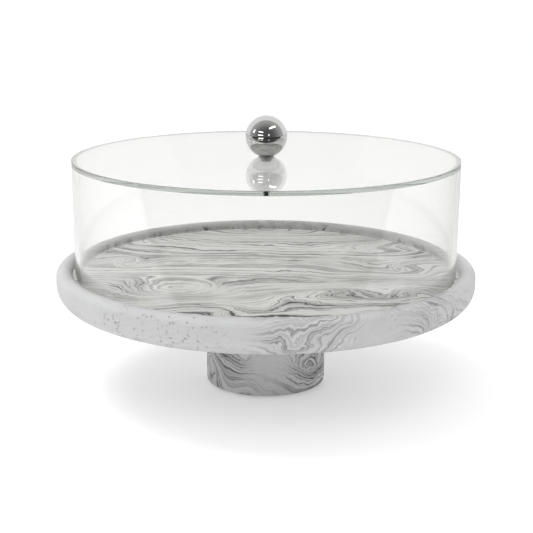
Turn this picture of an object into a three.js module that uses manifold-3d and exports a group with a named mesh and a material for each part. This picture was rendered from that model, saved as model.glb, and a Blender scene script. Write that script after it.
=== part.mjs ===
// Cake stand with a lift-off clear cover: a round stone plate bolted to a stone foot, and an acrylic
// cover with a steel ball knob that stands in the plate's recess.
// Millimetres, +Z up. The origin is the centre of the surface that the stand rests on.

import * as THREE from 'three';
import { mergeVertices } from 'three/addons/utils/BufferGeometryUtils.js';
import Module from 'manifold-3d';

// ---------------------------------------------------------------- driving dimensions

const PLATE_DIAMETER = 305;
const PLATE_UNDERSIDE = 66;
const RECESS_FLOOR = 86;
const RIM_TOP = 91.5;
const RIM_BEAD_RADIUS = 6;
const PLATE_UNDER_ROUND = 14;

const FOOT_DIAMETER = 88;
const FOOT_EDGE_ROUND = 1.5;
const GASKET_DIAMETER = 82;
const GASKET_THICKNESS = 0.8;

const PAD_COUNT = 4;
const PAD_DIAMETER = 12;
const PAD_THICKNESS = 1.5;
const PAD_CIRCLE_RADIUS = 31;

const COVER_DIAMETER = 277.5;
const COVER_HEIGHT = 83;
const COVER_WALL_THICKNESS = 3.5;
const COVER_TOP_THICKNESS = 3;
const COVER_EDGE_BEVEL = 0.4;
const SERVING_DIAMETER = 260; // flat area for the cake, inside the foot of the cover

const BALL_DIAMETER = 30;
const BALL_SEAT_RADIUS = 5;

const KNOB_SCREW_DIAMETER = 4;
const KNOB_SCREW_HEAD_DIAMETER = 8;
const KNOB_SCREW_HEAD_HEIGHT = 2.6;
const KNOB_SCREW_ENGAGEMENT = 8;
const KNOB_WASHER_DIAMETER = 12;
const KNOB_WASHER_THICKNESS = 0.8;

const BOLT_DIAMETER = 8;
const BOLT_LENGTH = 55;
const BOLT_HEAD_DIAMETER = 13;
const BOLT_HEAD_HEIGHT = 8;
const BOLT_WASHER_DIAMETER = 24;
const BOLT_WASHER_THICKNESS = 1.6;
const COUNTERBORE_DIAMETER = 30;
const COUNTERBORE_DEPTH = 22;
const INSERT_DIAMETER = 13;
const INSERT_LENGTH = 12;

const JOINT_GAP = 0.1; // between faces that rest on or are bonded to each other
const BORE_CLEARANCE = 0.3; // radial, between a hole and what goes through it

const LARGE_ROUND_SEGMENTS = 72;
const MEDIUM_ROUND_SEGMENTS = 48;
const SMALL_ROUND_SEGMENTS = 24;

// ---------------------------------------------------------------- derived heights

const PLATE_RADIUS = PLATE_DIAMETER / 2;
const FOOT_RADIUS = FOOT_DIAMETER / 2;
const FOOT_BOTTOM = PAD_THICKNESS + JOINT_GAP;
const FOOT_TOP = PLATE_UNDERSIDE - GASKET_THICKNESS - 2 * JOINT_GAP;
const COUNTERBORE_CEILING = FOOT_BOTTOM + COUNTERBORE_DEPTH;

const COVER_RADIUS = COVER_DIAMETER / 2;
const COVER_BOTTOM = RECESS_FLOOR + JOINT_GAP;
const COVER_TOP = COVER_BOTTOM + COVER_HEIGHT;
const COVER_TOP_UNDERSIDE = COVER_TOP - COVER_TOP_THICKNESS;

const BALL_RADIUS = BALL_DIAMETER / 2;
const BALL_SEAT = COVER_TOP + JOINT_GAP;
const BALL_CENTRE = BALL_SEAT + Math.sqrt(BALL_RADIUS ** 2 - BALL_SEAT_RADIUS ** 2);

const wasm = await Module();
wasm.setup();

// ---------------------------------------------------------------- materials

function material(color, roughness, metalness) {
  return new THREE.MeshStandardMaterial({ color, roughness, metalness });
}

const marble = () => material(0xd2d2ce, 0.5, 0);
const polishedSteel = () => material(0xd8d8d8, 0.08, 1);
const zincSteel = () => material(0xa9acb0, 0.4, 0.9);
const brass = () => material(0xb08d4a, 0.35, 0.9);
const greyRubber = () => material(0x4a4a48, 0.85, 0);
const nylon = () => material(0xe6e6e0, 0.5, 0);

function clearAcrylic() {
  const acrylic = material(0xe9efec, 0.05, 0);
  acrylic.transparent = true;
  acrylic.opacity = 0.25;
  return acrylic;
}

// ---------------------------------------------------------------- shape helpers

// Points of an arc in the (radius, height) plane, both ends included; angles in radians from +radius.
function arc(centreRadius, centreHeight, radius, from, to, steps) {
  const points = [];
  for (let i = 0; i <= steps; i++) {
    const angle = from + ((to - from) * i) / steps;
    points.push([centreRadius + radius * Math.cos(angle), centreHeight + radius * Math.sin(angle)]);
  }
  return points;
}

// Revolves an outline of [radius, height] points, listed anticlockwise, about +Z.
function revolve(outline, segments) {
  const points = outline.map(([radius, height]) => new THREE.Vector2(Math.max(radius, 0), height));
  return new THREE.LatheGeometry(points, segments).rotateX(Math.PI / 2);
}

// A ring, from the corners of its section: the outline closes on itself.
function revolveRing(outline, segments) {
  return revolve([...outline, outline[0]], segments);
}

function flatRing(innerRadius, outerRadius, bottom, top, bevel, segments) {
  return revolveRing(
    [
      [innerRadius, bottom],
      [outerRadius - bevel, bottom],
      [outerRadius, bottom + bevel],
      [outerRadius, top - bevel],
      [outerRadius - bevel, top],
      [innerRadius, top],
    ],
    segments,
  );
}

function toSolid(geometry) {
  const bare = geometry.clone();
  bare.deleteAttribute('normal');
  bare.deleteAttribute('uv');
  const merged = mergeVertices(bare);
  const vertProperties = new Float32Array(merged.attributes.position.array);
  const triVerts = new Uint32Array(merged.index.array);
  return new wasm.Manifold(new wasm.Mesh({ numProp: 3, vertProperties, triVerts }));
}

function cut(geometry, tool) {
  const result = toSolid(geometry).subtract(toSolid(tool)).getMesh();
  const cutGeometry = new THREE.BufferGeometry();
  cutGeometry.setAttribute('position', new THREE.BufferAttribute(result.vertProperties, 3));
  cutGeometry.setIndex(new THREE.BufferAttribute(result.triVerts, 1));
  cutGeometry.computeVertexNormals();
  return cutGeometry;
}

// A hexagonal prism that cuts a key socket upwards from below a screw head.
function hexKeyTool(acrossFlats, headBottom, depth) {
  const cornerRadius = acrossFlats / Math.sqrt(3);
  const overshoot = 1;
  const tool = new THREE.CylinderGeometry(cornerRadius, cornerRadius, depth + overshoot, 6);
  return tool.rotateX(Math.PI / 2).translate(0, 0, headBottom + (depth - overshoot) / 2);
}

function mesh(name, geometry, meshMaterial) {
  const part = new THREE.Mesh(geometry, meshMaterial);
  part.name = name;
  return part;
}

// ---------------------------------------------------------------- plate

function makePlate() {
  const holeRadius = INSERT_DIAMETER / 2 + BORE_CLEARANCE;
  const holeCeiling = PLATE_UNDERSIDE + INSERT_LENGTH + 1.5;
  const beadCentreRadius = PLATE_RADIUS - RIM_BEAD_RADIUS;
  const beadCentreHeight = RIM_TOP - RIM_BEAD_RADIUS;
  const beadEnd = Math.PI - Math.asin((RECESS_FLOOR - beadCentreHeight) / RIM_BEAD_RADIUS);
  const roundCentreRadius = PLATE_RADIUS - PLATE_UNDER_ROUND;
  const roundCentreHeight = PLATE_UNDERSIDE + PLATE_UNDER_ROUND;
  const outline = [
    [0, holeCeiling],
    [holeRadius, holeCeiling],
    [holeRadius, PLATE_UNDERSIDE],
    ...arc(roundCentreRadius, roundCentreHeight, PLATE_UNDER_ROUND, -Math.PI / 2, 0, 6),
    ...arc(beadCentreRadius, beadCentreHeight, RIM_BEAD_RADIUS, 0, beadEnd, 9),
    [SERVING_DIAMETER / 2, RECESS_FLOOR],
    [0, RECESS_FLOOR],
  ];
  return mesh('plate', revolve(outline, LARGE_ROUND_SEGMENTS), marble());
}

// A threaded insert, bonded into the plate's underside; its two grooves hold the adhesive.
function makePlateInsert() {
  const outer = INSERT_DIAMETER / 2;
  const inner = BOLT_DIAMETER / 2 + BORE_CLEARANCE;
  const grooveDepth = 0.8;
  const grooveWidth = 1.6;
  const bottom = PLATE_UNDERSIDE;
  const top = bottom + INSERT_LENGTH;
  const outline = [[inner, bottom], [outer, bottom]];
  for (const share of [0.33, 0.67]) {
    const middle = bottom + INSERT_LENGTH * share;
    outline.push([outer, middle - grooveWidth / 2]);
    outline.push([outer - grooveDepth, middle - grooveWidth / 2 + 0.3]);
    outline.push([outer - grooveDepth, middle + grooveWidth / 2 - 0.3]);
    outline.push([outer, middle + grooveWidth / 2]);
  }
  outline.push([outer, top], [inner, top]);
  return mesh('plate_insert', revolveRing(outline, SMALL_ROUND_SEGMENTS), brass());
}

// ---------------------------------------------------------------- foot

function makeFoot() {
  const boreRadius = BOLT_DIAMETER / 2 + 2 * BORE_CLEARANCE;
  const counterboreRadius = COUNTERBORE_DIAMETER / 2;
  const roundRadius = FOOT_RADIUS - FOOT_EDGE_ROUND;
  const quarter = Math.PI / 2;
  const outline = [
    [counterboreRadius, FOOT_BOTTOM],
    ...arc(roundRadius, FOOT_BOTTOM + FOOT_EDGE_ROUND, FOOT_EDGE_ROUND, -quarter, 0, 3),
    ...arc(roundRadius, FOOT_TOP - FOOT_EDGE_ROUND, FOOT_EDGE_ROUND, 0, quarter, 3),
    [boreRadius, FOOT_TOP],
    [boreRadius, COUNTERBORE_CEILING],
    [counterboreRadius, COUNTERBORE_CEILING],
  ];
  return mesh('foot', revolveRing(outline, LARGE_ROUND_SEGMENTS), marble());
}

function makeFootGasket() {
  const bottom = FOOT_TOP + JOINT_GAP;
  const inner = INSERT_DIAMETER / 2 + 1;
  const ring = flatRing(inner, GASKET_DIAMETER / 2, bottom, bottom + GASKET_THICKNESS, 0.1, MEDIUM_ROUND_SEGMENTS);
  return mesh('foot_gasket', ring, greyRubber());
}

function makeFootWasher() {
  const top = COUNTERBORE_CEILING - JOINT_GAP;
  const inner = BOLT_DIAMETER / 2 + BORE_CLEARANCE;
  const outer = BOLT_WASHER_DIAMETER / 2;
  const ring = flatRing(inner, outer, top - BOLT_WASHER_THICKNESS, top, 0.2, SMALL_ROUND_SEGMENTS);
  return mesh('foot_washer', ring, zincSteel());
}

// A socket-head bolt that goes up through the foot into the plate's insert.
function makeFootBolt() {
  const bevel = 0.6;
  const headTop = COUNTERBORE_CEILING - BOLT_WASHER_THICKNESS - 2 * JOINT_GAP;
  const headBottom = headTop - BOLT_HEAD_HEIGHT;
  const headRadius = BOLT_HEAD_DIAMETER / 2;
  const shankRadius = BOLT_DIAMETER / 2;
  const tip = headTop + BOLT_LENGTH;
  const outline = [
    [0, headBottom],
    [headRadius - bevel, headBottom],
    [headRadius, headBottom + bevel],
    [headRadius, headTop],
    [shankRadius, headTop],
    [shankRadius, tip - bevel],
    [shankRadius - bevel, tip],
    [0, tip],
  ];
  const keyAcrossFlats = 6;
  const keyDepth = 4;
  const blank = revolve(outline, SMALL_ROUND_SEGMENTS);
  const bolt = cut(blank, hexKeyTool(keyAcrossFlats, headBottom, keyDepth));
  return mesh('foot_bolt', bolt, zincSteel());
}

function makeFootPads() {
  const bevel = 0.4;
  const radius = PAD_DIAMETER / 2;
  const outline = [
    [0, 0],
    [radius - bevel, 0],
    [radius, bevel],
    [radius, PAD_THICKNESS],
    [0, PAD_THICKNESS],
  ];
  const pads = new THREE.Group();
  for (let i = 0; i < PAD_COUNT; i++) {
    const angle = ((i + 0.5) / PAD_COUNT) * 2 * Math.PI;
    const pad = mesh(`foot_pad_${i + 1}`, revolve(outline, SMALL_ROUND_SEGMENTS), greyRubber());
    pad.position.set(PAD_CIRCLE_RADIUS * Math.cos(angle), PAD_CIRCLE_RADIUS * Math.sin(angle), 0);
    pads.add(pad);
  }
  return pads;
}

// ---------------------------------------------------------------- cover

function makeCoverWall() {
  const inner = COVER_RADIUS - COVER_WALL_THICKNESS;
  const top = COVER_TOP_UNDERSIDE - JOINT_GAP;
  const outline = [
    [inner + COVER_EDGE_BEVEL, COVER_BOTTOM],
    [COVER_RADIUS - COVER_EDGE_BEVEL, COVER_BOTTOM],
    [COVER_RADIUS, COVER_BOTTOM + COVER_EDGE_BEVEL],
    [COVER_RADIUS, top],
    [inner, top],
    [inner, COVER_BOTTOM + COVER_EDGE_BEVEL],
  ];
  return mesh('cover_wall', revolveRing(outline, LARGE_ROUND_SEGMENTS), clearAcrylic());
}

function makeCoverTop() {
  const holeRadius = KNOB_SCREW_DIAMETER / 2 + BORE_CLEARANCE;
  const outline = [
    [holeRadius, COVER_TOP_UNDERSIDE],
    [COVER_RADIUS, COVER_TOP_UNDERSIDE],
    [COVER_RADIUS, COVER_TOP - COVER_EDGE_BEVEL],
    [COVER_RADIUS - COVER_EDGE_BEVEL, COVER_TOP],
    [holeRadius, COVER_TOP],
  ];
  return mesh('cover_top', revolveRing(outline, LARGE_ROUND_SEGMENTS), clearAcrylic());
}

// ---------------------------------------------------------------- knob

function makeKnobBall() {
  const holeRadius = KNOB_SCREW_DIAMETER / 2 + BORE_CLEARANCE;
  const holeCeiling = BALL_SEAT + KNOB_SCREW_ENGAGEMENT + 1;
  const seatAngle = Math.asin((BALL_SEAT - BALL_CENTRE) / BALL_RADIUS);
  const outline = [
    [0, holeCeiling],
    [holeRadius, holeCeiling],
    [holeRadius, BALL_SEAT],
    ...arc(0, BALL_CENTRE, BALL_RADIUS, seatAngle, Math.PI / 2, 16),
  ];
  return mesh('knob_ball', revolve(outline, MEDIUM_ROUND_SEGMENTS), polishedSteel());
}

function makeKnobWasher() {
  const top = COVER_TOP_UNDERSIDE - JOINT_GAP;
  const inner = KNOB_SCREW_DIAMETER / 2 + BORE_CLEARANCE;
  const outer = KNOB_WASHER_DIAMETER / 2;
  const ring = flatRing(inner, outer, top - KNOB_WASHER_THICKNESS, top, 0.15, SMALL_ROUND_SEGMENTS);
  return mesh('knob_washer', ring, nylon());
}

// A low round-head screw that goes up through the cover's top into the ball.
function makeKnobScrew() {
  const headTop = COVER_TOP_UNDERSIDE - KNOB_WASHER_THICKNESS - 2 * JOINT_GAP;
  const headBottom = headTop - KNOB_SCREW_HEAD_HEIGHT;
  const headRadius = KNOB_SCREW_HEAD_DIAMETER / 2;
  const headRound = 1.6;
  const shankRadius = KNOB_SCREW_DIAMETER / 2;
  const tipBevel = 0.4;
  const tip = BALL_SEAT + KNOB_SCREW_ENGAGEMENT;
  const outline = [
    [0, headBottom],
    ...arc(headRadius - headRound, headBottom + headRound, headRound, -Math.PI / 2, 0, 4),
    [headRadius, headTop],
    [shankRadius, headTop],
    [shankRadius, tip - tipBevel],
    [shankRadius - tipBevel, tip],
    [0, tip],
  ];
  const keyAcrossFlats = 2.5;
  const keyDepth = 1.5;
  const blank = revolve(outline, SMALL_ROUND_SEGMENTS);
  const screw = cut(blank, hexKeyTool(keyAcrossFlats, headBottom, keyDepth));
  return mesh('knob_screw', screw, zincSteel());
}

// ---------------------------------------------------------------- assembly

const stand = new THREE.Group();
stand.add(makePlate(), makePlateInsert(), makeFoot(), makeFootGasket());
stand.add(makeFootWasher(), makeFootBolt(), makeFootPads());

const cover = new THREE.Group();
cover.add(makeCoverWall(), makeCoverTop(), makeKnobBall(), makeKnobWasher(), makeKnobScrew());

const cakeStand = new THREE.Group();
cakeStand.add(stand, cover);

export default cakeStand;
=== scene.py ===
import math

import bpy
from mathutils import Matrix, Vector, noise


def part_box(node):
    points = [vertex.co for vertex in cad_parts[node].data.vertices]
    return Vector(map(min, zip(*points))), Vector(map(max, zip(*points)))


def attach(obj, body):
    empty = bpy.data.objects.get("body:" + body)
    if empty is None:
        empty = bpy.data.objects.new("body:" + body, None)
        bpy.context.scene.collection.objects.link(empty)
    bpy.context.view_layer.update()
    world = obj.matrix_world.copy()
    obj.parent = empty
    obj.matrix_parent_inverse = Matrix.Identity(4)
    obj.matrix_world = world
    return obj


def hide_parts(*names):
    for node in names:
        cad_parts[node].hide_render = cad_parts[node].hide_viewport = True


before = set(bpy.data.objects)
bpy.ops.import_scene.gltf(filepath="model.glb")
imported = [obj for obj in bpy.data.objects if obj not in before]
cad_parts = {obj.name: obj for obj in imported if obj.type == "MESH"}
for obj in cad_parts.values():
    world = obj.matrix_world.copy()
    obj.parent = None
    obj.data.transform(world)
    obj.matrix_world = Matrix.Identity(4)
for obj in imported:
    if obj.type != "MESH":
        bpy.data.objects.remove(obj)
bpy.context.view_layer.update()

# Looks of the covered cake stand: stone plate and foot, clear cover, ball knob and the small parts that
# hold it together. Metres, in the frame of the CAD model.

MM = 0.001

# ---------------------------------------------------------------- sizes, from the frame

plate_low, plate_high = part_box("plate")
foot_low, foot_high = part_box("foot")
wall_low, wall_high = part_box("cover_wall")
top_low, top_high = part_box("cover_top")
ball_low, ball_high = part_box("knob_ball")

JOINT_GAP = 0.1 * MM
RIM_BEAD_RADIUS = 6 * MM
PLATE_UNDER_ROUND = 14 * MM
FOOT_EDGE_ROUND = 1.5 * MM
COVER_WALL_THICKNESS = 3.5 * MM
COVER_EDGE_ROUND = 0.35 * MM
COUNTERBORE_RADIUS = 15 * MM
COUNTERBORE_DEPTH = 22 * MM
BOLT_BORE_RADIUS = 4.6 * MM
SCREW_BORE_RADIUS = 2.3 * MM

PLATE_RADIUS = plate_high.x
FOOT_RADIUS = foot_high.x
COVER_RADIUS = top_high.x
BALL_RADIUS = ball_high.x
BALL_CENTRE = ball_high.z - BALL_RADIUS
RECESS_FLOOR = wall_low.z - JOINT_GAP

FINE = 360    # segments round a large piece
ROUND = 128   # segments round a small one
BOUNCES = 40  # light runs far inside the acrylic's edges before it leaves them

# The floor's own glow: near the object and far from it, and what is added near it for the camera only.
NEAR_FLOOR_GLOW = 0.13
FAR_FLOOR_GLOW = 0.24
SEEN_FLOOR_GLOW = 0.17

CAMERA_PLACE = (-0.3 * MM, -822.2 * MM, 295.8 * MM)

# ---------------------------------------------------------------- mesh helpers


def arc(centre_radius, centre_height, radius, start, end, steps):
    """Points of an arc in the (radius, height) plane; angles in degrees from the +radius direction."""
    points = []
    for i in range(steps + 1):
        angle = math.radians(start + (end - start) * i / steps)
        points.append((centre_radius + radius * math.cos(angle), centre_height + radius * math.sin(angle)))
    return points


def straight(start, end, edge, spacing):
    """Points strictly between start and end. One is close to each, so that smooth shading stays flat."""
    start, end = Vector(start), Vector(end)
    length = (end - start).length
    if length < 3 * edge:
        return []
    steps = max(1, round((length - 2 * edge) / spacing))
    shares = [(edge + (length - 2 * edge) * i / steps) / length for i in range(steps + 1)]
    return [tuple(start.lerp(end, share)) for share in shares]


def outline(runs, closed=False, edge=0.2 * MM, spacing=4 * MM):
    """Joins runs of points by straight lines, listed anticlockwise in the (radius, height) plane."""
    points = list(runs[0])
    following = runs[1:] + ([runs[0][:1]] if closed else [])
    for run in following:
        points += straight(points[-1], run[0], edge, spacing)
        points += run
    return points[:-1] if closed else points


def revolve(name, points, segments, closed=False, shape=None):
    """A mesh object: the outline turned about Z. shape(radius, angle, height) may change a point's radius."""
    vertices, rings, faces = [], [], []
    for radius, height in points:
        if radius < 1e-7:
            rings.append([len(vertices)] * segments)
            vertices.append((0.0, 0.0, height))
            continue
        rings.append(list(range(len(vertices), len(vertices) + segments)))
        for i in range(segments):
            angle = 2 * math.pi * i / segments
            r = shape(radius, angle, height) if shape else radius
            vertices.append((r * math.cos(angle), r * math.sin(angle), height))
    pairs = list(zip(rings, rings[1:] + rings[:1] if closed else rings[1:]))
    for lower, upper in pairs:
        for i in range(segments):
            j = (i + 1) % segments
            corners = [lower[i], lower[j], upper[j], upper[i]]
            faces.append(list(dict.fromkeys(corners)))
    mesh = bpy.data.meshes.new(name)
    mesh.from_pydata(vertices, [], faces)
    mesh.shade_smooth()
    mesh.set_sharp_from_angle(angle=math.radians(35))
    piece = bpy.data.objects.new(name, mesh)
    bpy.context.scene.collection.objects.link(piece)
    return piece


def undulate(piece, height, size):
    """Moves the surface in and out by up to height, in patches of that size, as hand finishing does."""
    mesh = piece.data
    normals = [v.normal.copy() for v in mesh.vertices]
    for vertex, normal in zip(mesh.vertices, normals):
        vertex.co += normal * (height * noise.noise(vertex.co / size))
    mesh.update()


def hexagon(across_flats):
    """A radius that follows a hexagon, for a key socket."""
    apothem = across_flats / 2

    def radius_at(angle):
        turned = (angle + math.pi / 6) % (math.pi / 3) - math.pi / 6
        return apothem / math.cos(turned)

    return radius_at


def finish_piece(piece, material, body, slot, *nodes):
    piece.data.materials.clear()
    piece.data.materials.append(material)
    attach(piece, body)
    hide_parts(*nodes)
    return piece


# ---------------------------------------------------------------- material helpers


class Graph:
    """A material's node tree. Inputs of each call are numbers, colours or sockets of earlier nodes."""

    def __init__(self, name):
        self.material = bpy.data.materials.new(name)
        self.material.use_nodes = True
        self.nodes = self.material.node_tree.nodes
        self.links = self.material.node_tree.links
        self.nodes.clear()
        self.output = self.nodes.new("ShaderNodeOutputMaterial")

    def add(self, kind, inputs=None, **settings):
        node = self.nodes.new(kind)
        for key, value in settings.items():
            setattr(node, key, value)
        for key, value in (inputs or {}).items():
            if isinstance(value, bpy.types.NodeSocket):
                self.links.new(value, node.inputs[key])
            else:
                node.inputs[key].default_value = value
        return node

    def math(self, operation, a, b=0.0, c=0.0, clamp=False):
        node = self.add("ShaderNodeMath", {0: a, 1: b, 2: c}, operation=operation, use_clamp=clamp)
        return node.outputs[0]

    def vector(self, operation, a, b=(0.0, 0.0, 0.0)):
        return self.add("ShaderNodeVectorMath", {0: a, 1: b}, operation=operation).outputs[0]

    def total(self, *values):
        result = values[0]
        for value in values[1:]:
            result = self.math("ADD", result, value)
        return result

    def smooth(self, value, low, high, start=0.0, end=1.0):
        """start below low, end above high, and a smooth step between them."""
        inputs = {"Value": value, "From Min": low, "From Max": high, "To Min": start, "To Max": end}
        return self.add("ShaderNodeMapRange", inputs, interpolation_type="SMOOTHSTEP").outputs[0]

    def noise(self, vector, scale, detail=2.0, roughness=0.5):
        inputs = {"Vector": vector, "Scale": scale, "Detail": detail, "Roughness": roughness}
        return self.add("ShaderNodeTexNoise", inputs)

    def noise_along(self, value, detail=0.0):
        inputs = {"W": value, "Scale": 1.0, "Detail": detail}
        return self.add("ShaderNodeTexNoise", inputs, noise_dimensions="1D").outputs[0]

    def mix(self, factor, first, second):
        node = self.add("ShaderNodeMix", data_type="RGBA")
        for socket, value in ((node.inputs[0], factor), (node.inputs[6], first), (node.inputs[7], second)):
            if isinstance(value, bpy.types.NodeSocket):
                self.links.new(value, socket)
            else:
                socket.default_value = value
        return node.outputs[2]

    def bump(self, height, distance, strength=1.0, normal=None):
        inputs = {"Height": height, "Distance": distance, "Strength": strength}
        if normal is not None:
            inputs["Normal"] = normal
        return self.add("ShaderNodeBump", inputs).outputs[0]

    def principled(self, **inputs):
        named = {key.replace("_", " "): value for key, value in inputs.items()}
        node = self.add("ShaderNodeBsdfPrincipled", named)
        self.links.new(node.outputs[0], self.output.inputs["Surface"])
        return self.material


def grey(level, warmth=0.0):
    """A near-neutral colour; warmth adds red and takes off blue."""
    return (level * (1 + warmth), level, level * (1 - warmth), 1.0)


# ---------------------------------------------------------------- stone


def millimetres(g):
    """Object coordinates in millimetres, so that every size in the stone is in millimetres too."""
    place = g.add("ShaderNodeTexCoord").outputs["Object"]
    return g.vector("MULTIPLY", place, (1000.0, 1000.0, 1000.0))


def hill(g, place, centre, size):
    """1 at centre, falling smoothly to 0 over size, which may differ along X, Y and Z."""
    offset = g.vector("SUBTRACT", place, centre)
    scaled = g.vector("MULTIPLY", offset, tuple(1 / s for s in size))
    squared = g.add("ShaderNodeVectorMath", {0: scaled, 1: scaled}, operation="DOT_PRODUCT").outputs["Value"]
    return g.math("EXPONENT", g.math("MULTIPLY", squared, -1.0))


def folded(g, phase, place, folds):
    """Adds hills to phase, so that the lines along it bend round them or close into eyes."""
    for centre, size, strength in folds:
        phase = g.total(phase, g.math("MULTIPLY", hill(g, place, centre, size), strength))
    return phase


def warped(g, place, sizes, amount, detail=1.0):
    """place moved about by up to half of amount, in patches that may be longer along one axis."""
    stretched = g.vector("MULTIPLY", place, tuple(1 / size for size in sizes))
    shift = g.vector("SUBTRACT", g.noise(stretched, 1.0, detail).outputs["Color"], (0.5, 0.5, 0.5))
    return g.vector("ADD", place, g.vector("MULTIPLY", shift, amount))


def twirled(g, place, twirls):
    """place turned about each centre, most in the middle, so that lines curl into hooks and swirls."""
    for centre, size, degrees in twirls:
        turn = g.math("MULTIPLY", hill(g, place, centre, size), math.radians(degrees))
        node = g.add("ShaderNodeVectorRotate", {"Vector": place, "Center": centre, "Angle": turn})
        node.rotation_type = "Z_AXIS"
        place = node.outputs[0]
    return place


def patches(g, place, spots):
    """The sum of some hills, each with its own strength."""
    result = 0.0
    for centre, size, strength in spots:
        result = g.math("MULTIPLY_ADD", hill(g, place, centre, size), strength, result)
    return result


def one_sided_lines(g, phase, spacing, tail, seed):
    """1 on lines of uneven spacing along phase, each with one crisp side and one that fades away."""
    wave = g.noise_along(g.math("ADD", g.math("DIVIDE", phase, spacing), seed))
    rise = g.smooth(wave, 0.485, 0.51)
    fall = g.smooth(wave, 0.51, 0.51 + tail, 1.0, 0.0)
    return g.math("MULTIPLY", rise, fall)


def contour_lines(g, phase, spacing, width, seed):
    """1 on lines of uneven spacing and thickness along phase, 0 between them."""
    wave = g.noise_along(g.math("ADD", g.math("DIVIDE", phase, spacing), seed))
    return g.smooth(g.math("ABSOLUTE", g.math("SUBTRACT", wave, 0.5)), 0.0, width, 1.0, 0.0)


def veins(g, place, phase, size, seed, accent):
    """How dark the veins are, 0 to 1: soft bands, clear lines and hair lines.

    size scales their width and spacing, seed chooses other veins, and accent makes them darker or paler.
    """
    phase = g.math("DIVIDE", phase, size)
    bands = g.smooth(g.noise_along(g.math("ADD", g.math("DIVIDE", phase, 24.0), seed), 1.0), 0.48, 0.64)
    ribbons = one_sided_lines(g, phase, 14.0, 0.11, seed + 5.1)
    lines = contour_lines(g, phase, 8.5, 0.042, seed + 11.3)
    hairs = contour_lines(g, phase, 4.0, 0.06, seed + 23.7)
    fade = g.noise(g.vector("ADD", place, (seed, 0.0, 0.0)), 0.026, 3.0).outputs[0]
    fine_fade = g.noise(g.vector("ADD", place, (0.0, seed, 0.0)), 0.045, 2.0).outputs[0]
    strength = g.smooth(g.math("MULTIPLY_ADD", accent, 0.16, fade), 0.30, 0.58, 0.18, 1.0)
    fine_strength = g.smooth(g.math("MULTIPLY_ADD", accent, 0.12, fine_fade), 0.36, 0.58)
    drawn = g.total(
        g.math("MULTIPLY", ribbons, 0.50),
        g.math("MULTIPLY", lines, 0.80),
    )
    return g.total(
        g.math("MULTIPLY", bands, g.math("MULTIPLY_ADD", accent, 0.16, 0.17, clamp=True)),
        g.math("MULTIPLY", drawn, strength),
        g.math("MULTIPLY", g.math("MULTIPLY", hairs, fine_strength), 0.36),
    )


TOP_TWIRLS = [  # centre, size in millimetres and turn in degrees: hooks and swirls on the plate's top
    ((104, 8, 86), (26, 20, 60), -120),
    ((-107, 24, 86), (13, 11, 60), 170),
    ((44, -76, 86), (24, 17, 60), 150),
    ((88, -70, 86), (16, 17, 60), -130),
    ((-25, -120, 86), (30, 22, 60), 85),
]
TOP_FOLDS = [  # centre, size and height in millimetres: eyes and bulges
    ((-62, -60, 86), (38, 21, 60), 46),
    ((60, -4, 86), (40, 12, 60), 12),
    ((60, 62, 86), (46, 12, 60), 10),
    ((8, 134, 86), (36, 16, 60), 22),
]
TOP_ACCENTS = [  # centre, size and strength: where the veins are darker, or paler when it is negative
    ((-18, 71, 86), (58, 9, 60), 1.3),
    ((66, -82, 86), (46, 17, 60), 1.3),
    ((-30, -24, 86), (95, 11, 60), 0.9),
    ((108, 0, 86), (22, 24, 60), 0.9),
    ((80, -24, 86), (30, 9, 60), 0.8),
    ((-92, -52, 86), (13, 22, 60), 0.9),
    ((-20, -118, 86), (34, 20, 60), 0.7),
    ((87, 29, 86), (28, 12, 60), -1.6),
    ((-45, -60, 86), (28, 13, 60), -1.3),
    ((45, -50, 86), (60, 9, 60), -1.1),
    ((-100, -30, 86), (26, 10, 60), -0.9),
    ((-60, 100, 86), (40, 20, 60), -0.5),
]


def top_veins(g, place):
    """Veins of the plate's top: long lines along X that bow upwards at the back and curl near the front."""
    broad = warped(g, place, (95.0, 60.0, 60.0), (40.0, 46.0, 0.0))
    rough = warped(g, broad, (30.0, 14.0, 14.0), (14.0, 11.0, 0.0), 2.0)
    fine = warped(g, rough, (6.0, 4.0, 4.0), (3.6, 2.6, 0.0))
    curled = twirled(g, fine, TOP_TWIRLS)
    xyz = g.add("ShaderNodeSeparateXYZ", {0: curled})
    bow = g.math("MULTIPLY", g.math("MULTIPLY", xyz.outputs["X"], xyz.outputs["X"]), -0.0032)
    back = g.smooth(xyz.outputs["Y"], 20.0, 115.0)
    phase = g.math("ADD", xyz.outputs["Y"], g.math("MULTIPLY", bow, back))
    return veins(g, place, folded(g, phase, curled, TOP_FOLDS), 1.0, 3.1, patches(g, place, TOP_ACCENTS))


RIM_FOLDS = [  # centre, size and height in millimetres
    ((120, 95, 84), (40, 40, 14), 24),
    ((-125, 85, 80), (36, 36, 16), -22),
]
RIM_PATCHES = [  # centre, size and strength: where the side is veined, or plain when it is negative
    ((20, -150, 78), (34, 34, 60), 1.2),
    ((126, -84, 66), (20, 24, 16), 1.3),
    ((-95, -118, 78), (75, 60, 60), -1.5),
    ((42, 142, 88), (26, 20, 12), 1.6),
]


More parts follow.
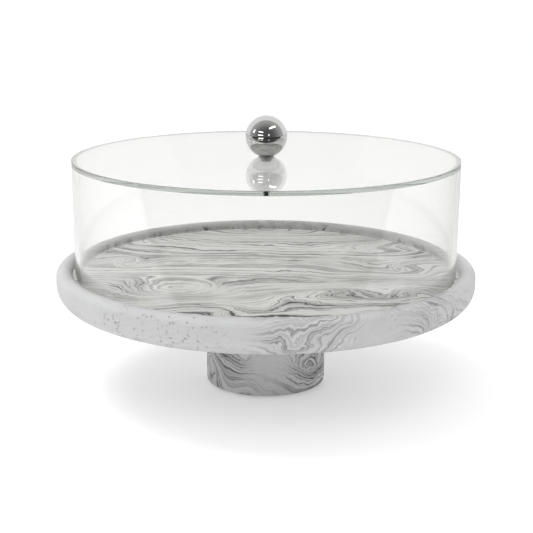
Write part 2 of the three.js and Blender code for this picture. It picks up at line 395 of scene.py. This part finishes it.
def rim_veins(g, place):
    """Veins of the rim and side: groups of lines that sweep up the side, with plain stone between them."""
    broad = warped(g, place, (50.0, 50.0, 44.0), (46.0, 46.0, 40.0))
    rough = warped(g, broad, (14.0, 14.0, 10.0), (9.0, 9.0, 8.0), 2.0)
    fine = warped(g, rough, (4.0, 4.0, 4.0), (2.4, 2.4, 2.4))
    xyz = g.add("ShaderNodeSeparateXYZ", {0: fine})
    past = g.math("MAXIMUM", g.math("SUBTRACT", xyz.outputs["X"], 18.0), 0.0)
    sweep = g.math("MULTIPLY", g.math("MULTIPLY", past, past), -0.022)
    front = g.smooth(xyz.outputs["Y"], -120.0, -80.0, 1.0, 0.0)
    phase = g.math("ADD", xyz.outputs["Z"], g.math("MULTIPLY", g.math("MAXIMUM", sweep, -45.0), front))
    dark = veins(g, place, folded(g, phase, fine, RIM_FOLDS), 0.62, 44.9, 0.0)
    scattered = g.smooth(g.noise(place, 0.017, 1.0).outputs[0], 0.50, 0.62)
    shown = g.math("ADD", scattered, patches(g, place, RIM_PATCHES), clamp=True)
    return g.math("MINIMUM", g.math("MULTIPLY", dark, g.math("MULTIPLY_ADD", shown, 0.76, 0.10)), 0.60)


FOOT_FOLDS = [  # centre, size and height in millimetres
    ((-24, -37, 34), (13, 16, 11), 26),
    ((-40, -16, 16), (12, 14, 10), -20),
    ((36, -26, 24), (15, 16, 9), 24),
    ((10, 44, 34), (16, 18, 12), 24),
    ((-30, 32, 14), (14, 14, 9), -22),
]
FOOT_ACCENTS = [  # centre, size and strength: dark swirls, and plain stone where it is negative
    ((-32, -31, 30), (14, 18, 26), 1.7),
    ((38, -24, 24), (13, 16, 24), 1.7),
    ((3, -44, 30), (17, 18, 22), -1.5),
    ((20, 40, 34), (20, 18, 20), 1.2),
    ((-30, 32, 14), (16, 16, 18), -1.5),
]


def foot_veins(g, place):
    """Veins of the foot: bold swirls with plain stone between them."""
    broad = warped(g, place, (36.0, 36.0, 30.0), (36.0, 36.0, 36.0))
    rough = warped(g, broad, (12.0, 12.0, 9.0), (9.0, 9.0, 8.0), 2.0)
    fine = warped(g, rough, (3.4, 3.4, 3.4), (2.2, 2.2, 2.2))
    xyz = g.add("ShaderNodeSeparateXYZ", {0: fine})
    slope = g.math("MULTIPLY", xyz.outputs["X"], 0.35)
    phase = folded(g, g.math("ADD", xyz.outputs["Z"], slope), fine, FOOT_FOLDS)
    accent = patches(g, place, FOOT_ACCENTS)
    shown = g.smooth(accent, -1.4, 0.3, 0.16, 1.05)
    return g.math("MULTIPLY", veins(g, place, phase, 0.85, 67.9, accent), shown)


def pits(g, place, amount):
    """Small open pores of the casting, 1 in a pore. amount is how much of the surface may have them."""
    ragged = warped(g, place, (2.5, 2.5, 2.5), (5.0, 5.0, 5.0), 2.0)
    cells = g.add("ShaderNodeTexVoronoi", {"Vector": ragged, "Scale": 0.34})
    pore = g.smooth(cells.outputs["Distance"], 0.12, 0.34, 1.0, 0.0)
    chosen = g.smooth(g.add("ShaderNodeSeparateXYZ", {0: cells.outputs["Color"]}).outputs[0], 0.35, 0.60)
    return g.math("MULTIPLY", g.math("MULTIPLY", pore, chosen), amount)


def stone(name, body_colour, pattern, pore_amount):
    """Marbled stone with a satin finish. Plain colour, veins and pores are functions of (g, place)."""
    g = Graph(name)
    place = millimetres(g)
    dark = pattern(g, place)
    veined = g.mix(g.math("MULTIPLY", dark, 0.94, clamp=True), body_colour(g, place), grey(0.06, 0.03))
    pore = pits(g, place, pore_amount(g, place))
    # painted shade in the pores: their colour is darkened on top of their bump
    colour = g.mix(g.math("MULTIPLY", pore, 0.55), veined, grey(0.20, 0.02))
    grain = g.noise(place, 1.6, 3.0, 0.6).outputs[0]
    rough = g.total(0.40, g.math("MULTIPLY", grain, 0.12), g.math("MULTIPLY", dark, 0.08))
    surface = g.bump(grain, 0.03 * MM, 0.5)
    surface = g.bump(g.math("MULTIPLY", pore, -1.0), 0.5 * MM, 1.0, surface)
    return g.principled(Base_Color=colour, Roughness=rough, Normal=surface)


def from_axis(g, place):
    flat = g.vector("MULTIPLY", place, (1.0, 1.0, 0.0))
    return g.add("ShaderNodeVectorMath", {0: flat}, operation="LENGTH").outputs["Value"]


def recess_share(g, place):
    """1 on the floor of the recess, 0 on the rim and everywhere below. It also marks where the floor is
    painted paler.
    """
    inside = g.smooth(from_axis(g, place), 139.5, 142.5, 1.0, 0.0)
    above = g.smooth(g.add("ShaderNodeSeparateXYZ", {0: place}).outputs["Z"], 80.0, 82.0)
    return g.math("MULTIPLY", inside, above)


def plate_colour(g, place):
    """Painted light and shade over the stone's mottled grey: the recess floor is painted paler than the rim
    and side.
    """
    cloud = g.noise(place, 0.02, 3.0).outputs[0]
    # painted shade on the rim and side, painted light on the recess floor
    side_colour_painted_darker = g.mix(cloud, grey(0.54, -0.003), grey(0.66, -0.003))
    floor_colour_painted_lighter = g.mix(cloud, (0.78, 0.782, 0.762, 1.0), (0.87, 0.872, 0.851, 1.0))
    return g.mix(recess_share(g, place), side_colour_painted_darker, floor_colour_painted_lighter)


def foot_colour(g, place):
    cloud = g.noise(place, 0.03, 3.0).outputs[0]
    return g.mix(cloud, grey(0.60, 0.004), grey(0.72, 0.004))


def plate_veins(g, place):
    """The floor's pattern inside the rim, and the side pattern on the rim and below it."""
    share = recess_share(g, place)
    top = g.math("MULTIPLY", top_veins(g, place), share)
    side = g.math("MULTIPLY", rim_veins(g, place), g.math("SUBTRACT", 1.0, share))
    return g.math("ADD", top, side)


def plate_pores(g, place):
    """Pores are thick on the left of the rim and few elsewhere."""
    patch = g.smooth(g.noise(place, 0.03, 1.0).outputs[0], 0.46, 0.60)
    left = hill(g, place, (-75.0, -130.0, 84.0), (55.0, 45.0, 30.0))
    rim = g.smooth(from_axis(g, place), 139.0, 143.0)
    return g.math("MULTIPLY", rim, g.total(g.math("MULTIPLY", patch, 0.45), left), clamp=True)


def foot_pores(g, place):
    return g.smooth(g.noise(place, 0.05, 1.0).outputs[0], 0.55, 0.70, 0.0, 0.5)


# ---------------------------------------------------------------- other materials


def clear_acrylic():
    """Clear cast acrylic. Its grey-green shows only along the long way through an edge."""
    g = Graph("clear_acrylic")
    place = millimetres(g)
    waves = g.noise(place, 0.012, 1.0).outputs[0]
    surface = g.bump(waves, 0.12 * MM, 0.35)
    material = g.principled(
        Base_Color=(0.95, 0.953, 0.943, 1.0),
        Roughness=0.0,
        IOR=1.49,
        Transmission_Weight=1.0,
        Normal=surface,
    )
    body = g.add("ShaderNodeVolumeAbsorption", {"Color": (0.915, 0.924, 0.914, 1.0), "Density": 20.0})
    g.links.new(body.outputs[0], g.output.inputs["Volume"])
    return material


def polished_steel():
    g = Graph("polished_steel")
    place = millimetres(g)
    smear = g.noise(g.vector("MULTIPLY", place, (1.0, 1.0, 0.4)), 0.25, 3.0).outputs[0]
    colour = g.mix(smear, grey(0.60, 0.01), grey(0.70, 0.006))
    rough = g.smooth(smear, 0.3, 0.8, 0.015, 0.06)
    return g.principled(Base_Color=colour, Metallic=1.0, Roughness=rough)


def zinc_steel():
    g = Graph("zinc_steel")
    place = millimetres(g)
    spangle = g.noise(place, 1.2, 3.0).outputs[0]
    colour = g.mix(spangle, grey(0.42, -0.02), grey(0.62, -0.01))
    rough = g.smooth(spangle, 0.3, 0.7, 0.22, 0.42)
    surface = g.bump(g.noise(place, 6.0, 2.0).outputs[0], 0.02 * MM, 0.4)
    return g.principled(Base_Color=colour, Metallic=1.0, Roughness=rough, Normal=surface)


def brass():
    g = Graph("brass")
    place = millimetres(g)
    tarnish = g.noise(place, 0.5, 3.0).outputs[0]
    colour = g.mix(tarnish, (0.40, 0.26, 0.09, 1.0), (0.66, 0.47, 0.18, 1.0))
    rough = g.smooth(tarnish, 0.3, 0.7, 0.22, 0.45)
    return g.principled(Base_Color=colour, Metallic=1.0, Roughness=rough)


def soft_rubber():
    g = Graph("soft_rubber")
    place = millimetres(g)
    dust = g.noise(place, 0.8, 4.0, 0.6).outputs[0]
    colour = g.mix(dust, grey(0.055), grey(0.11))
    rough = g.smooth(dust, 0.3, 0.7, 0.62, 0.88)
    surface = g.bump(g.noise(place, 4.0, 3.0).outputs[0], 0.04 * MM, 0.6)
    return g.principled(Base_Color=colour, Roughness=rough, Normal=surface)


def nylon():
    g = Graph("nylon")
    place = millimetres(g)
    cloud = g.noise(place, 0.4, 2.0).outputs[0]
    colour = g.mix(cloud, grey(0.62, 0.02), grey(0.74, 0.01))
    rough = g.smooth(cloud, 0.3, 0.7, 0.38, 0.55)
    return g.principled(Base_Color=colour, Roughness=rough)


# ---------------------------------------------------------------- stone pieces


def make_plate():
    bead_radius = PLATE_RADIUS - RIM_BEAD_RADIUS
    bead_height = plate_high.z - RIM_BEAD_RADIUS
    bead_end = 180 - math.degrees(math.asin((RECESS_FLOOR - bead_height) / RIM_BEAD_RADIUS))
    insert_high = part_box("plate_insert")[1]
    hole = insert_high.x + 0.3 * MM
    hole_top = insert_high.z + 1.5 * MM
    round_radius = PLATE_RADIUS - PLATE_UNDER_ROUND
    round_height = plate_low.z + PLATE_UNDER_ROUND
    runs = [
        [(0.0, hole_top)],
        [(hole, hole_top)],
        [(hole, plate_low.z)],
        arc(round_radius, round_height, PLATE_UNDER_ROUND, -90, 0, 16),
        arc(bead_radius, bead_height, RIM_BEAD_RADIUS, 0, bead_end, 24),
        [(0.0, RECESS_FLOOR)],
    ]
    piece = revolve("plate_stone", outline(runs), FINE)
    undulate(piece, 0.12 * MM, 22 * MM)
    material = stone("plate_marble", plate_colour, plate_veins, plate_pores)
    return finish_piece(piece, material, "stand", "marble", "plate")


def make_foot():
    ceiling = foot_low.z + COUNTERBORE_DEPTH
    round_radius = FOOT_RADIUS - FOOT_EDGE_ROUND
    runs = [
        [(COUNTERBORE_RADIUS, foot_low.z)],
        arc(round_radius, foot_low.z + FOOT_EDGE_ROUND, FOOT_EDGE_ROUND, -90, 0, 6),
        arc(round_radius, foot_high.z - FOOT_EDGE_ROUND, FOOT_EDGE_ROUND, 0, 90, 6),
        [(BOLT_BORE_RADIUS, foot_high.z)],
        [(BOLT_BORE_RADIUS, ceiling)],
        [(COUNTERBORE_RADIUS, ceiling)],
    ]
    piece = revolve("foot_stone", outline(runs, closed=True), FINE, closed=True)
    undulate(piece, 0.06 * MM, 16 * MM)
    material = stone("foot_marble", foot_colour, foot_veins, foot_pores)
    return finish_piece(piece, material, "stand", "marble", "foot")


# ---------------------------------------------------------------- cover


def make_cover(material):
    inner = COVER_RADIUS - COVER_WALL_THICKNESS
    e = COVER_EDGE_ROUND
    wall_runs = [
        arc(inner + e, wall_low.z + e, e, 180, 270, 4),
        arc(COVER_RADIUS - e, wall_low.z + e, e, 270, 360, 4),
        [(COVER_RADIUS, wall_high.z)],
        [(inner, wall_high.z)],
    ]
    wall = revolve("cover_wall_acrylic", outline(wall_runs, closed=True, spacing=20 * MM), FINE, closed=True)
    finish_piece(wall, material, "cover", "clear_acrylic", "cover_wall")
    top_runs = [
        [(SCREW_BORE_RADIUS, top_low.z)],
        [(COVER_RADIUS, top_low.z)],
        arc(COVER_RADIUS - e, top_high.z - e, e, 0, 90, 4),
        [(SCREW_BORE_RADIUS, top_high.z)],
    ]
    top = revolve("cover_top_acrylic", outline(top_runs, closed=True, spacing=20 * MM), FINE, closed=True)
    finish_piece(top, material, "cover", "clear_acrylic", "cover_top")
    return wall, top


# ---------------------------------------------------------------- knob


def make_ball():
    seat_angle = math.degrees(math.asin((ball_low.z - BALL_CENTRE) / BALL_RADIUS))
    hole_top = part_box("knob_screw")[1].z + 1 * MM
    runs = [
        [(0.0, hole_top)],
        [(SCREW_BORE_RADIUS, hole_top)],
        [(SCREW_BORE_RADIUS, ball_low.z)],
        arc(0.0, BALL_CENTRE, BALL_RADIUS, seat_angle, 90, 72),
    ]
    runs[-1][-1] = (0.0, ball_high.z)
    piece = revolve("knob_ball_steel", outline(runs), ROUND)
    return finish_piece(piece, polished_steel(), "cover", "polished_steel", "knob_ball")


def make_ring(name, node, inner, edge, body, material, slot, segments=ROUND):
    """A flat ring in the place of a CAD node, with rounded outer edges."""
    low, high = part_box(node)
    outer = (high.x - low.x) / 2
    runs = [
        [(inner, low.z)],
        arc(outer - edge, low.z + edge, edge, -90, 0, 4),
        arc(outer - edge, high.z - edge, edge, 0, 90, 4),
        [(inner, high.z)],
    ]
    piece = revolve(name, outline(runs, closed=True), segments, closed=True)
    return finish_piece(piece, material, body, slot, node)


def make_screw(
    name, node, body, material, *, shank, pitch, head_radius, head_height, head_round, key, key_depth
):
    """A screw that points up, with a hexagon key socket in its head and a real helical thread.

    shank is the radius of the thread, and key is the width across the socket's flats.
    """
    low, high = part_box(node)
    head_top = low.z + head_height
    thread_start = head_top + 1.5 * MM
    thread_depth = pitch * 0.55
    key_radius = hexagon(key)
    socket = key / 2 / math.cos(math.pi / 6) + 0.05 * MM

    def shape(radius, angle, height):
        if radius < socket + 1e-6 and height < head_top:
            return key_radius(angle) * radius / socket
        if height > thread_start and radius > shank * 0.9:
            turn = (height / pitch - angle / (2 * math.pi)) % 1.0
            return radius - thread_depth * abs(2 * turn - 1)
        return radius

    steps = round((high.z - thread_start) / pitch * 8)
    thread_length = high.z - 0.4 * MM - thread_start
    thread = [(shank, thread_start + thread_length * i / steps) for i in range(steps + 1)]
    points = [(0.0, low.z + key_depth), (socket * 0.6, low.z + key_depth), (socket, low.z + key_depth)]
    points += [(socket, low.z + key_depth * 0.5), (socket, low.z)]
    points += arc(head_radius - head_round, low.z + head_round, head_round, -90, 0, 6)
    points += [(head_radius, head_top), (shank, head_top)] + thread
    points += [(shank * 0.8, high.z), (0.0, high.z)]
    piece = revolve(name, points, 96, shape=shape)
    return finish_piece(piece, material, body, "zinc_steel", node)


# ---------------------------------------------------------------- small parts of the foot


def make_insert(material):
    """A threaded insert with three knurled bands."""
    low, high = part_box("plate_insert")
    inner, outer = 4.3 * MM, high.x
    groove = 0.8 * MM
    height = high.z - low.z

    def knurl(radius, angle, _height):
        if radius > outer - 0.1 * MM:
            return radius - 0.25 * MM * abs((angle * 24 / math.pi) % 2 - 1)
        return radius

    runs = [[(inner, low.z)], [(outer, low.z)]]
    for share in (0.33, 0.67):
        middle = low.z + height * share
        runs.append([(outer, middle - groove), (outer - groove, middle - groove / 2)])
        runs.append([(outer - groove, middle + groove / 2), (outer, middle + groove)])
    runs += [[(outer, high.z)], [(inner, high.z)]]
    piece = revolve("plate_insert_brass", outline(runs, closed=True), 192, closed=True, shape=knurl)
    return finish_piece(piece, material, "stand", "brass", "plate_insert")


def make_pads(material):
    """Soft pads with a shallow ring moulded into the face that rests on the table."""
    for i in range(1, 5):
        node = f"foot_pad_{i}"
        low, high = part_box(node)
        radius = (high.x - low.x) / 2
        edge = 0.4 * MM
        groove = 0.25 * MM
        runs = [
            [(0.0, low.z)],
            [(radius * 0.55, low.z), (radius * 0.58, low.z + groove)],
            [(radius * 0.68, low.z + groove), (radius * 0.71, low.z)],
            arc(radius - edge, low.z + edge, edge, -90, 0, 4),
            [(radius, high.z)],
            [(0.0, high.z)],
        ]
        piece = revolve(f"foot_pad_rubber_{i}", outline(runs, edge=0.05 * MM), 64)
        piece.location = ((low.x + high.x) / 2, (low.y + high.y) / 2, 0.0)
        finish_piece(piece, material, "stand", "grey_rubber", node)


# ---------------------------------------------------------------- studio


def make_floor():
    """A white floor that is clear from below. In mirrors its front part is dark, like the room there."""
    bpy.ops.mesh.primitive_plane_add(size=80.0, location=(0.0, 0.0, -0.02 * MM))
    floor = bpy.context.object
    floor.name = "studio_floor"
    g = Graph("studio_floor")
    place = g.add("ShaderNodeTexCoord").outputs["Object"]
    paper = g.noise(place, 3.0, 2.0).outputs[0]
    distance = g.add("ShaderNodeVectorMath", {0: place}, operation="LENGTH").outputs["Value"]
    paths = g.add("ShaderNodeLightPath").outputs
    lit_near = g.math("MULTIPLY", g.smooth(distance, 0.5, 1.1, SEEN_FLOOR_GLOW, 0.0), paths["Is Camera Ray"])
    glow = g.math("ADD", g.smooth(distance, 0.4, 2.2, NEAR_FLOOR_GLOW, FAR_FLOOR_GLOW), lit_near)
    mirrored = g.math("MINIMUM", paths["Glossy Depth"], 1.0)
    front = g.smooth(g.add("ShaderNodeSeparateXYZ", {0: place}).outputs["Y"], -0.34, -0.30, 1.0, 0.0)
    room = g.math("MULTIPLY", front, mirrored)
    below = g.add("ShaderNodeNewGeometry").outputs["Backfacing"]
    g.principled(
        Base_Color=g.mix(room, g.mix(paper, grey(0.88), grey(0.90)), grey(0.03)),
        Roughness=0.9,
        Specular_IOR_Level=0.0,
        Emission_Color=(1.0, 1.0, 1.0, 1.0),
        Emission_Strength=g.math("MULTIPLY", glow, g.math("SUBTRACT", 1.0, room)),
        Alpha=g.math("SUBTRACT", 1.0, below),
    )
    floor.data.materials.append(g.material)


def direction_level(nodes, links, direction, axis, low, high, start, end):
    """A strength that runs from start to end as the direction looked in goes from low to high on axis."""
    along = nodes.new("ShaderNodeVectorMath")
    along.operation = "DOT_PRODUCT"
    along.inputs[1].default_value = axis
    links.new(direction, along.inputs[0])
    level = nodes.new("ShaderNodeMapRange")
    level.interpolation_type = "SMOOTHSTEP"
    level.inputs["From Min"].default_value = low
    level.inputs["From Max"].default_value = high
    level.inputs["To Min"].default_value = start
    level.inputs["To Max"].default_value = end
    links.new(along.outputs["Value"], level.inputs["Value"])
    return level.outputs[0]


def make_world():
    """The studio: soft light, a white backdrop, and a dark room in front that only mirrors show."""
    world = bpy.data.worlds.new("studio")
    bpy.context.scene.world = world
    world.use_nodes = True
    nodes, links = world.node_tree.nodes, world.node_tree.links
    nodes.clear()

    def add(kind, *inputs, operation=None):
        node = nodes.new(kind)
        if operation:
            node.operation = operation
        for socket, value in zip(node.inputs, inputs):
            if isinstance(value, bpy.types.NodeSocket):
                links.new(value, socket)
            else:
                socket.default_value = value
        return node

    direction = add("ShaderNodeTexCoord").outputs["Generated"]
    paths = add("ShaderNodeLightPath").outputs
    lighting = direction_level(nodes, links, direction, (-0.10, 1.0, 0.5), -1.0, -0.1, 0.24, 0.92)
    room = direction_level(nodes, links, direction, (0.0, 1.0, 0.0), -0.9, 0.25, 0.11, 0.50)
    wall = direction_level(nodes, links, direction, (0.0, 1.0, 0.0), 0.20, 0.34, 0.0, 0.46)
    mirrored = add("ShaderNodeMath", room, wall, operation="ADD").outputs[0]
    from_camera, through_glass = paths["Is Camera Ray"], paths["Is Transmission Ray"]
    passed = add("ShaderNodeMath", from_camera, through_glass, operation="ADD").outputs[0]
    direct = add("ShaderNodeMath", paths["Diffuse Depth"], 0.5, operation="LESS_THAN").outputs[0]
    backdrop = add("ShaderNodeMath", passed, direct, operation="MULTIPLY").outputs[0]
    glossy = add("ShaderNodeMath", paths["Glossy Depth"], 1.0, operation="MINIMUM").outputs[0]
    lit = add("ShaderNodeMix", backdrop)
    links.new(lighting, lit.inputs[2])
    lit.inputs[3].default_value = 1.0
    level = add("ShaderNodeMix", glossy)
    links.new(lit.outputs[0], level.inputs[2])
    links.new(mirrored, level.inputs[3])
    background = add("ShaderNodeBackground", (1.0, 1.0, 1.0, 1.0), level.outputs[0])
    add("ShaderNodeOutputWorld", background.outputs[0])


def softbox(name, place, target, size, power, mirrored=True):
    lamp = bpy.data.lights.new(name, "AREA")
    lamp.shape = "RECTANGLE"
    lamp.size, lamp.size_y = size
    lamp.energy = power
    light = bpy.data.objects.new(name, lamp)
    light.location = place
    light.rotation_mode = "QUATERNION"
    light.rotation_quaternion = (Vector(target) - Vector(place)).to_track_quat("-Z", "Y")
    light.visible_glossy = mirrored
    bpy.context.scene.collection.objects.link(light)
    return light


def mirrored_place(right, up, distance):
    """The place of a lamp whose reflection the camera sees at (right, up) on the knob, in knob radii."""
    centre = Vector((0.0, 0.0, BALL_CENTRE))
    to_camera = (Vector(CAMERA_PLACE) - centre).normalized()
    side = Vector((1.0, 0.0, 0.0))
    above = side.cross(-to_camera)
    normal = right * side + up * above + math.sqrt(1 - right * right - up * up) * to_camera
    direction = 2 * normal.dot(to_camera) * normal - to_camera
    return centre + distance * direction


def passes_through(pieces):
    """A collection that lets a lamp shine straight through the given pieces."""
    clear = bpy.data.collections.new("clear_to_softboxes")
    for piece in pieces:
        clear.objects.link(piece)
    for item in clear.collection_objects:
        item.light_linking.link_state = "EXCLUDE"
    return clear


def make_lights(cover_pieces):
    middle = (0.0, 0.0, 0.08)
    knob = (0.0, 0.0, BALL_CENTRE)
    clear = passes_through(cover_pieces)
    overhead = softbox("overhead_softbox", (-0.70, 0.15, 1.6), middle, (0.9, 0.9), 11.0, mirrored=False)
    front = softbox("front_softbox", (-0.10, -1.35, 1.45), middle, (1.0, 0.8), 3.5, mirrored=False)
    for light in (overhead, front):
        light.light_linking.blocker_collection = clear
        light.visible_camera = False
        light.visible_transmission = False
    strips = (  # reflection on the knob, right and up; then the width and height of the lamp, and its power
        (0.28, 0.42, 0.95, 0.20, 2.2),
        (-0.57, 0.24, 0.16, 0.32, 0.6),
        (-0.26, 0.20, 0.66, 0.09, 0.7),
        (-0.28, 0.05, 0.72, 0.09, 0.7),
        (-0.26, -0.10, 0.66, 0.10, 0.7),
        (0.12, 0.06, 0.10, 0.18, 0.2),
        (0.12, -0.18, 0.12, 0.10, 0.15),
    )
    for i, (right, up, width, height, power) in enumerate(strips):
        strip = softbox(f"strip_{i + 1}", mirrored_place(right, up, 1.4), knob, (width, height), power)
        strip.visible_diffuse = False
        strip.visible_camera = False
        strip.visible_transmission = False


def make_camera():
    """The photograph's viewpoint: 0.82 m in front of the axis, 0.30 m up, looking 14 degrees down."""
    pitch_down = math.radians(14.25)
    roll = math.radians(-0.2)
    image_side = 533
    focal_pixels = 1150
    data = bpy.data.cameras.new("camera")
    data.sensor_width = 36.0
    data.lens = 36.0 * focal_pixels / image_side
    data.clip_start = 0.01
    camera = bpy.data.objects.new("camera", data)
    camera.location = CAMERA_PLACE
    camera.rotation_euler = (math.pi / 2 - pitch_down, roll, 0.0)
    bpy.context.scene.collection.objects.link(camera)
    bpy.context.scene.camera = camera


# ---------------------------------------------------------------- assembly

acrylic = clear_acrylic()
zinc = zinc_steel()
rubber = soft_rubber()

make_plate()
make_foot()
cover_pieces = make_cover(acrylic)
make_ball()
make_ring("knob_washer_nylon", "knob_washer", SCREW_BORE_RADIUS, 0.15 * MM, "cover", nylon(), "nylon")
make_screw(
    "knob_screw_steel", "knob_screw", "cover", zinc,
    shank=2.0 * MM, pitch=0.7 * MM,
    head_radius=4 * MM, head_height=2.6 * MM, head_round=1.6 * MM,
    key=2.5 * MM, key_depth=1.5 * MM,
)
make_insert(brass())
make_ring("foot_gasket_rubber", "foot_gasket", 7.5 * MM, 0.1 * MM, "stand", rubber, "grey_rubber")
make_ring("foot_washer_steel", "foot_washer", 4.3 * MM, 0.2 * MM, "stand", zinc, "zinc_steel")
make_screw(
    "foot_bolt_steel", "foot_bolt", "stand", zinc,
    shank=4.0 * MM, pitch=1.25 * MM,
    head_radius=6.5 * MM, head_height=8 * MM, head_round=0.6 * MM,
    key=6 * MM, key_depth=4 * MM,
)
make_pads(rubber)

make_floor()
make_world()
make_lights(cover_pieces)
make_camera()
bpy.context.scene.view_settings.view_transform = "Standard"
bpy.context.scene.cycles.max_bounces = BOUNCES
bpy.context.scene.cycles.transmission_bounces = BOUNCES
bpy.context.scene.cycles.glossy_bounces = BOUNCES
